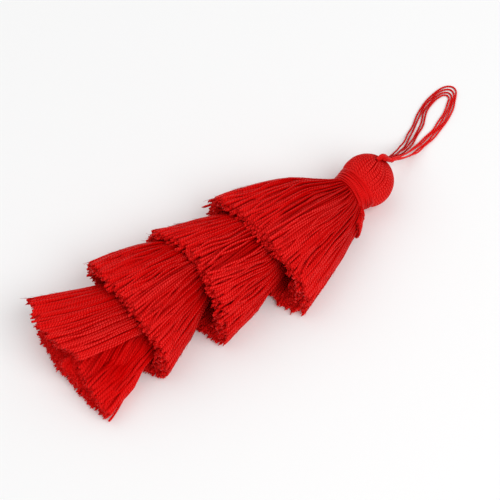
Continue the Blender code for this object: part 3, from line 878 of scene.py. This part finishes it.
# -------- the skirts
# an open skirt's threads: how far they fill its mouth, low on the near and the far side; how much longer they
# are low on the near side; where it bellies out, half how wide and how far; where two bunches lean over each
# other, and how strongly; and how far they swell out below the binding
Drape = namedtuple(
    "Drape", "mouth_near mouth_far low_length belly_at belly_half belly_out seam seam_strength swell",
)
DRAPES = {
    "tassel_head": Drape(0.0029, 0.0018, 0.0020, 0.47, 0.12, 0.0004, 0.29, 0.45, 0.0007),
    "skirt_2": Drape(0.0020, 0.0, 0.0014, 0.0, 0.1, 0.0, 0.35, 1.4, 0.0),
    "skirt_3": Drape(0.0008, 0.0, 0.0023, 0.09, 0.13, 0.0017, 0.37, 0.4, 0.0),
}
# each side of the bunches' seam: how far round it goes, and how far its threads move and sink
BEFORE_SEAM = (0.20, 0.040, 0.0018)
AFTER_SEAM = (0.16, -0.034, -0.0007)
# degrees round the rim where the mouth is filled, and where the low threads are longer
MOUTH_NEAR = (170, 245)
MOUTH_FAR = (315, 18)
LOW_DEGREES = (196, 222, 270, 310)
LOW_SHARES = (0, 1, 1, 0)
SWELL_AT = 0.52
SWELL_HALF = 0.12
FIBRE_RADIUS = 0.00004
LOOSE_THREADS = 18
OPEN_FIBRES = 140
# the layers whose roots show, those before the mouth's own, and how much painted shade a sunk thread gets for
# each metre
SHOWN_LAYERS = 3
MOUTH_LAYERS = 8
SUNK_SHADE = 800
# uneven cutting: slow round the rim, by lock and by thread
CUT_UNEVEN = (0.00026, 0.00024, 0.00034)
# how much longer each layer is than the last, how unevenly, and how much shorter deep in the mouth
BEVEL = 0.00016
BEVEL_UNEVEN = 0.00035
FILLING_BACK = 0.00006


def belly(drape, around):
    return drape.belly_out * close_to((around - drape.belly_at + 0.5) % 1.0, 0.5, drape.belly_half)


def shift(skirt, around):
    """How far a thread moves round the rim, and how far out its end lies."""
    drape = DRAPES[skirt.name]
    reach, towards, sunk = BEFORE_SEAM if around < drape.seam else AFTER_SEAM
    close = drape.seam_strength * close_to(around, drape.seam, reach)
    return towards * close, belly(drape, around) - sunk * close


def mouth_filling(drape, degrees):
    """How much deeper than the wall the threads go at the rim."""
    if MOUTH_NEAR[0] < degrees < MOUTH_NEAR[1]:
        return drape.mouth_near
    return drape.mouth_far if degrees > MOUTH_FAR[0] or degrees < MOUTH_FAR[1] else 0.0


def cut(skirt, rng, around, lock_number):
    """How much longer than the rim a thread is, as a share of the skirt's length."""
    lock_rng = default_rng(skirt.seed * 1000 + int(lock_number))
    slow, by_lock, by_thread = CUT_UNEVEN
    uneven = slow * slow_wave(skirt.seed + 3, around, 12) + lock_rng.normal(0, by_lock)
    return (uneven + rng.normal(0, by_thread)) / skirt.reach


def root_stack(rng, layer, i):
    """How much deeper a thread lies near the root, where there is less room."""
    return ((2 * i) % 3) * 0.00042 if layer == 0 else rng.uniform(0.3, 1.5) * MM


def fuzz(shape, bundle, rng, count, arounds=(-0.05, 0.60)):
    """Single fibres that have worked loose from the threads and curl off the surface."""
    for _ in range(count):
        around = rng.uniform(*arounds)
        q = rng.uniform(0.35, 1.0) ** 0.6 * shape.tip(around % 1.0)
        q = q + np.linspace(0, rng.uniform(0.03, 0.09), 6)
        curl = np.linspace(0, 1, 6) ** 1.6
        off = -rng.uniform(0.0001, 0.0006) * curl + 0.0001
        drift, lift = (0.0, 0.0) if shape.skirt.filled else shift(shape.skirt, around % 1.0)
        moved = around + drift * drifting(q) + rng.normal(0, 0.010) * curl
        local, out = shape.points(q, moved, off - lift * smooth(q / LIFT_FULL))
        sizes = FIBRE_RADIUS * np.linspace(1, 0.5, 6)
        bundle.add(shape.world(local), sizes, turn_z(out, shape.turn), rng.random(), phase=rng.random())


# short ends below the binding, on the near side: where they are cut, and how far they stand out
SHORT_ENDS = ((0.058, 0.0012), (0.165, 0.0013))
SHORT_ENDS_AROUND = np.linspace(0.45, 0.58, 8)
SHORT_ENDS_SHARES = (0.30, 0.50, 0.70, 0.85, 1.0)
# stray threads at the first skirt's far corner: where they are cut, and their place round the rim
CORNER_STRAYS = ((1.055, -0.005), (1.035, -0.035), (1.0, 0.065))


def add_neck_ends(shape, bundle, rng):
    """The first skirt's short ends below the binding, and the strays at its far corner."""
    for q_tip, stand in SHORT_ENDS:
        for around in SHORT_ENDS_AROUND:
            for share in SHORT_ENDS_SHARES:
                tip = q_tip * rng.uniform(0.92, 1.04)
                lay(shape, bundle, rng, around, 0.0, tip, ends=1.0, lift=stand * share, stray=0.5)
    for q_tip, around in CORNER_STRAYS:
        lay(shape, bundle, rng, around, 0.0002, q_tip, stray=1.5, ends=1.0)


def dress_open_skirt(skirt, name):
    shape, drape = Shape(skirt), DRAPES[skirt.name]
    rng = default_rng(skirt.seed)
    bundle = Bundle()
    for layer in range(LAYERS):
        depth = THREAD_RADIUS + layer * LAYER
        count = shape.threads_in(layer)
        centre, place, number = locks(rng, count)
        for i in range(count):
            around = (i + 0.5 * (layer % 2) + rng.normal(0, 0.10)) / count
            degrees = shape.degrees(around % 1.0)
            filling = mouth_filling(drape, degrees)
            if layer >= MOUTH_LAYERS and not filling:
                continue
            if layer > 1 and shape.wall(around % 1.0) + filling < depth + 0.3 * THREAD_RADIUS:
                continue
            stack = root_stack(rng, layer, i)
            tip = shape.tip(around % 1.0) + cut(skirt, rng, around, number[i] + 100 * layer)
            tip += (BEVEL * min(layer, 3) + (rng.normal(0, BEVEL_UNEVEN) if layer else 0.0)) / skirt.reach
            tip -= FILLING_BACK * max(0, layer - 6) / skirt.reach
            tip += drape.low_length * float(np.interp(degrees, LOW_DEGREES, LOW_SHARES)) / skirt.reach
            swell = drape.swell * close_to(around, SWELL_AT, SWELL_HALF)
            drift, lift = shift(skirt, around % 1.0)
            # deep: painted shade for the lower layers and for threads sunk at the seam
            lay(
                shape, bundle, rng, around, depth, tip, stack, (centre[i], place[i]),
                stray=1.0 if layer else 1.5, deep=min(1.0, 0.25 * layer) + SUNK_SHADE * max(0.0, -lift),
                drift=drift, lift=lift, hidden=layer >= SHOWN_LAYERS,
                bulge=swell if layer < SHOWN_LAYERS else 0.0,
            )
    fuzz(shape, bundle, rng, OPEN_FIBRES)
    for _ in range(LOOSE_THREADS):
        around = rng.uniform(-0.02, 0.52)
        tip = shape.tip(around) - rng.uniform(-0.01, 0.05)
        lay(shape, bundle, rng, around, THREAD_RADIUS * 0.5, tip, stray=2.2, ends=0.6)
    if skirt.name == "tassel_head":
        add_neck_ends(shape, bundle, rng)
    bundle.build(name, hank_material, skirt.name, "hank_thread")


# the lowest skirt's upper sheet: its near edge, as a share round the rim, and its far edge
SHEET_EDGE = 0.385
SHEET_EDGE_STEP = 0.006
SHEET_FAR_EDGE = 0.93
SHEET_LAYERS = 3
SHEET_SAG = 0.0012
SHEET_FIBRES = 20
# cut edges: by share round the rim for the sheet and by degrees for the body, and the share of the length
LIP = (
    (0.0, 0.95), (0.06, 0.935), (0.11, 0.99), (0.18, 1.03), (0.26, 1.02), (0.31, 0.955), (0.35, 0.915),
    (0.40, 0.90),
)
HEM = (
    (0, 0.95), (90, 1.03), (150, 0.99), (188, 0.935), (215, 0.955), (256, 1.01), (290, 1.02), (326, 1.0),
    (360, 0.95),
)
BODY_HEIGHT = 0.0141
BODY_HOLLOW = 0.0022
# single threads that lie over the body (share of the length, share round the rim)
BODY_STRAYS = ((0.965, 0.545), (0.955, 0.56), (0.95, 0.575), (0.935, 0.52), (0.70, 0.52), (0.95, 0.50))


def along_table(value, table):
    places, values = zip(*table)
    return float(np.interp(value, places, values))


def add_sheet_thread(shape, sheet, rng, around, layer, uneven, stack, lock):
    """A thread of the upper sheet, whose near edge sags and leans to the far side."""
    near_half = around < 0.5
    drift = -0.035 * (around / SHEET_EDGE) ** 2 if near_half else 0.0
    sag = SHEET_SAG * float(ease(float(shape.rim_angle(around)), 0.6, 0.5))
    # deep: painted shade for the sheet's lower layers
    lay(
        shape, sheet, rng, around, THREAD_RADIUS + layer * LAYER,
        along_table(around + drift, LIP) + uneven - 0.012 * layer, stack, lock,
        deep=0.34 * layer, drift=drift, drop=sag if near_half else 0.0,
    )


def add_body_threads(shape, body, rng, around, layer, count, stack, lock):
    """A thread of the body, or two thin ones in its outer layers, sagging the more the higher it lies."""
    depth = THREAD_RADIUS + layer * LAYER
    outermost = layer < 2
    angle = float(shape.rim_angle(around))
    _, z = shape.outline(shape.outer(1.0), np.array([angle]), 1.0)
    rise = max(0.0, (float(z[0]) + SPINE_HEIGHT - depth * 0.7)) / BODY_HEIGHT
    # under the sheet's near edge the body lies back, and its threads turn towards the near side
    under, drift = 0.0, 0.0
    if angle < 4:
        under = ease(angle, 1.95, 0.10) * (1 - ease(angle, 2.45, 0.60))
        drift = 0.075 * ease(angle, 1.2, 0.6) * (1 - ease(angle, 2.3, 0.9))
    depth += BODY_HOLLOW * under
    trim = along_table(math.degrees(angle), HEM) - 0.12 * rise**1.5 * (angle < 2.9) + rng.normal(0, 0.011)
    drop = (0.0010 + 0.0052 * rise) * ease(rise, 0.10, 0.5)
    for strand in range(2 if outermost else 1):
        # deep: painted shade, more in the lower layers
        lay(
            shape, body, rng, around + 0.5 * strand / count, depth + rng.uniform(-0.0002, 0.0001),
            trim + rng.normal(0, 0.008), stack, lock, stray=2.3 if outermost else 1.7,
            deep=0.16 + 0.04 * layer, drop=drop, drift=drift, hidden=not outermost,
            thin=0.80 if outermost else 1.0,
        )


def dress_filled_skirt(skirt, name):
    """The lowest skirt: an upper sheet of threads, and a looser body that sags out from under it."""
    shape = Shape(skirt)
    rng = default_rng(skirt.seed)
    sheet, body = Bundle(), Bundle()
    for layer in range(LAYERS):
        count = shape.threads_in(layer)
        centre, place, number = locks(rng, count)
        for i in range(count):
            around = ((i + 0.5 * (layer % 2) + rng.normal(0, 0.10)) / count) % 1.0
            uneven = cut(skirt, rng, around, number[i] + 100 * layer)
            stack = root_stack(rng, layer, i)
            lock = (centre[i], place[i])
            on_sheet = around < SHEET_EDGE - SHEET_EDGE_STEP * layer or around > SHEET_FAR_EDGE
            if layer < SHEET_LAYERS and on_sheet:
                add_sheet_thread(shape, sheet, rng, around, layer, uneven, stack, lock)
            else:
                add_body_threads(shape, body, rng, around, layer, count, stack, lock)
    fuzz(shape, sheet, rng, SHEET_FIBRES, (-0.05, 0.08))
    for q_tip, around in BODY_STRAYS:
        lay(shape, body, rng, around, 0.0001, q_tip, stray=2.0, ends=1.0)
    sheet.build(name, hank_material, skirt.name, "hank_thread")
    body.build(name + "_under", loose_material, skirt.name, "hank_thread")


for number, skirt in enumerate(SKIRTS, start=1):
    dress = dress_filled_skirt if skirt.filled else dress_open_skirt
    dress(skirt, f"skirt_threads_{number}")


# -------- head
HEAD_SEED = 31
BALL_THREADS = (98, 84, 70)
BALL_THREAD_RADIUS = 0.00026
BALL_LAYER = 0.00036
BALL_PROUD = 0.00018
BALL_STATIONS = 24
BALL_FROM = 0.04
BALL_SWIRL = 0.22
BALL_LOCK_PULL = 0.04
# under the binding: how far behind the ball, and how far from the spine
UNDER_BINDING = ((0.0007, 0.0053), (0.0018, 0.0046), (0.0030, 0.0043))
UNDER_LAYER = 0.0004


def across(axis):
    """Two vectors square to an axis, the first level."""
    axis = unit(axis)
    first = unit(np.cross(np.broadcast_to([0.0, 0.0, 1.0], axis.shape), axis))
    return first, np.cross(axis, first)


def ball_point(share, round_angle, radius):
    """Points on the ball from the crown (0) to the neck (1), in the head's frame, and outward vectors."""
    polar = BALL_END_ANGLE * share
    spine = np.array([1.0, 0.0, 0.0])
    axis = unit(mix(POLE[None, :], spine[None, :], smooth(share)[:, None]))
    first, second = across(axis)
    sideways = first * np.cos(round_angle)[:, None] + second * np.sin(round_angle)[:, None]
    out = axis * np.cos(polar)[:, None] + sideways * np.sin(polar)[:, None]
    centre = np.array([BALL_ADVANCE, 0.0, 0.0])
    return centre + out * radius[:, None], out


def dress_head():
    rng = default_rng(HEAD_SEED)
    bundle = Bundle()
    share = np.linspace(BALL_FROM, 1.0, BALL_STATIONS)
    polar = BALL_END_ANGLE * share
    pull = BALL_LOCK_PULL * hump(share * 1.05)
    for layer, count in enumerate(BALL_THREADS):
        centre, place, _ = locks(rng, count)
        room = math.tau * BALL_RADIUS * np.sin(polar) / count
        for i in range(count):
            begin = centre[i] + (i / count - centre[i]) * (1 - pull)
            begin = begin + (0.5 * layer + rng.normal(0, 0.10)) / count
            swirl = BALL_SWIRL * share + rng.normal(0, 0.016) * np.sin(math.pi * share)
            radius = np.minimum(BALL_THREAD_RADIUS, 0.62 * room + 0.00008)
            sunk = (i % 2) * 0.00006 * (1 - smooth(share / 0.4)) + 0.00004 * place[i] ** 2
            sunk = sunk + rng.uniform(0, 0.00005)
            depth = radius + layer * BALL_LAYER + sunk
            points, out = ball_point(share, math.tau * begin + swirl, BALL_RADIUS + BALL_PROUD - depth)
            radial = unit(np.array([0.0, out[-1][1], out[-1][2]]))
            neck_x = points[-1][0]
            tail = [
                np.array([neck_x - back, 0, 0]) + radial * (size - UNDER_LAYER * layer)
                for back, size in UNDER_BINDING
            ]
            # deep: painted shade for the ball's lower layers
            bundle.add(
                turn_z(np.vstack([points, *tail]), HEAD_TURN) + HEAD_ROOT,
                np.concatenate([radius, [radius[-1]] * 3]),
                turn_z(np.vstack([out, radial, radial, radial]), HEAD_TURN),
                rng.random(), deep=min(1.0, 0.34 * layer), phase=rng.random(), cap=False,
            )
    bundle.build("head_threads", ball_material, "tassel_head", "hank_thread")


# -------- neck binding
BINDING_SEED = 41
BINDING_THREAD = 0.00021
BINDING_TURNS = 15
BINDING_LAYERS = 3
BINDING_LAYER = 1.25
BINDING_STEPS = 60
# how a turn leans along the neck, in the outer layer and in the others
BINDING_LEAN = (0.00020, 0.00010)
# near-side turns ride up on the flaring threads: what share of them, how far back and how far out
RIDE_SHARE = 0.3
RIDE_BACK = 0.0010
RIDE_OUT = 0.0009


def dress_binding():
    rng = default_rng(BINDING_SEED)
    bundle = Bundle()
    neck = BALL_ADVANCE + BALL_RADIUS * math.cos(BALL_END_ANGLE)
    start = neck - 2 * CLEARANCE - BINDING_LENGTH
    angle = np.linspace(0, math.tau, BINDING_STEPS + 1)
    for layer in range(BINDING_LAYERS):
        for i in range(BINDING_TURNS + 1):
            share = (i + 0.5 * (layer % 2) - 0.25) / BINDING_TURNS
            size = mix(BINDING_SKIRT_RADIUS - 0.0003, BINDING_HEAD_RADIUS, min(1.0, max(0.0, share)))
            lean = rng.normal(0, BINDING_LEAN[min(layer, 1)], 2)
            x = start + BINDING_LENGTH * np.clip(share, -0.04, 1.10)
            x = x + lean[0] * np.cos(angle) + lean[1] * np.sin(angle)
            x = x + BINDING_LENGTH / BINDING_TURNS * (angle / math.tau - 0.5)
            reach = size + 0.00006 - BINDING_THREAD * (1 + BINDING_LAYER * layer) - 0.00012 * (share < 0.05)
            reach = reach + 0.00003 * np.sin(3 * angle + rng.uniform(0, A_TURN)) + rng.normal(0, 0.00002)
            ride = max(0.0, 1 - share / RIDE_SHARE) * np.maximum(0.0, -np.cos(angle)) ** 2
            x = x - RIDE_BACK * ride
            reach = reach + RIDE_OUT * ride
            points = np.stack([x, reach * np.cos(angle), reach * np.sin(angle)], -1)
            out = np.stack([np.zeros_like(x), np.cos(angle), np.sin(angle)], -1)
            # deep: painted shade for the binding's inner layers
            bundle.add(
                turn_z(points, HEAD_TURN) + HEAD_ROOT, BINDING_THREAD, turn_z(out, HEAD_TURN), rng.random(),
                deep=0.3 * layer, phase=rng.random(), cap=False,
            )
    bundle.build("neck_wrap", wound_material, "neck_binding", "binding_thread")


dress_head()
dress_binding()


# -------- surface and light
FLOOR_HALF = 3.0
FLOOR_DEPTH = 0.00002
# name, direction, distance, width and power
LIGHTS = (
    ("key", (0.30, -0.85, 1.05), 0.9, 0.8, 4.5),
    ("top", (-0.2, 0.9, 1.3), 1.0, 1.2, 2.3),
)


def make_floor():
    mesh = bpy.data.meshes.new("surface")
    corners = [(FLOOR_HALF * x, FLOOR_HALF * y, 0) for x, y in ((-1, -1), (1, -1), (1, 1), (-1, 1))]
    mesh.from_pydata(corners, [], [(0, 1, 2, 3)])
    material = bpy.data.materials.new("surface")
    material.use_nodes = True
    shader = material.node_tree.nodes["Principled BSDF"]
    shader.inputs["Base Color"].default_value = (0.93, 0.93, 0.93, 1.0)
    shader.inputs["Roughness"].default_value = 0.7
    shader.inputs["Specular IOR Level"].default_value = 0.2
    mesh.materials.append(material)
    item = new_object("surface", mesh)
    item.location = (0, 0, -FLOOR_DEPTH)


def make_light(name, direction, distance, size, power):
    data = bpy.data.lights.new(name, "AREA")
    data.shape = "DISK"
    data.size = size
    data.energy = power
    item = new_object(name, data)
    away = unit(np.array(direction, float))
    item.location = away * distance
    item.rotation_euler = (0, math.acos(away[2]), math.atan2(away[1], away[0]))


make_floor()
for light in LIGHTS:
    make_light(*light)
world = bpy.data.worlds.new("studio")
world.use_nodes = True
background = world.node_tree.nodes["Background"]
background.inputs["Color"].default_value = (1.0, 1.0, 1.0, 1.0)
background.inputs["Strength"].default_value = 0.55
bpy.context.scene.world = world
bpy.context.scene.view_settings.view_transform = "Standard"
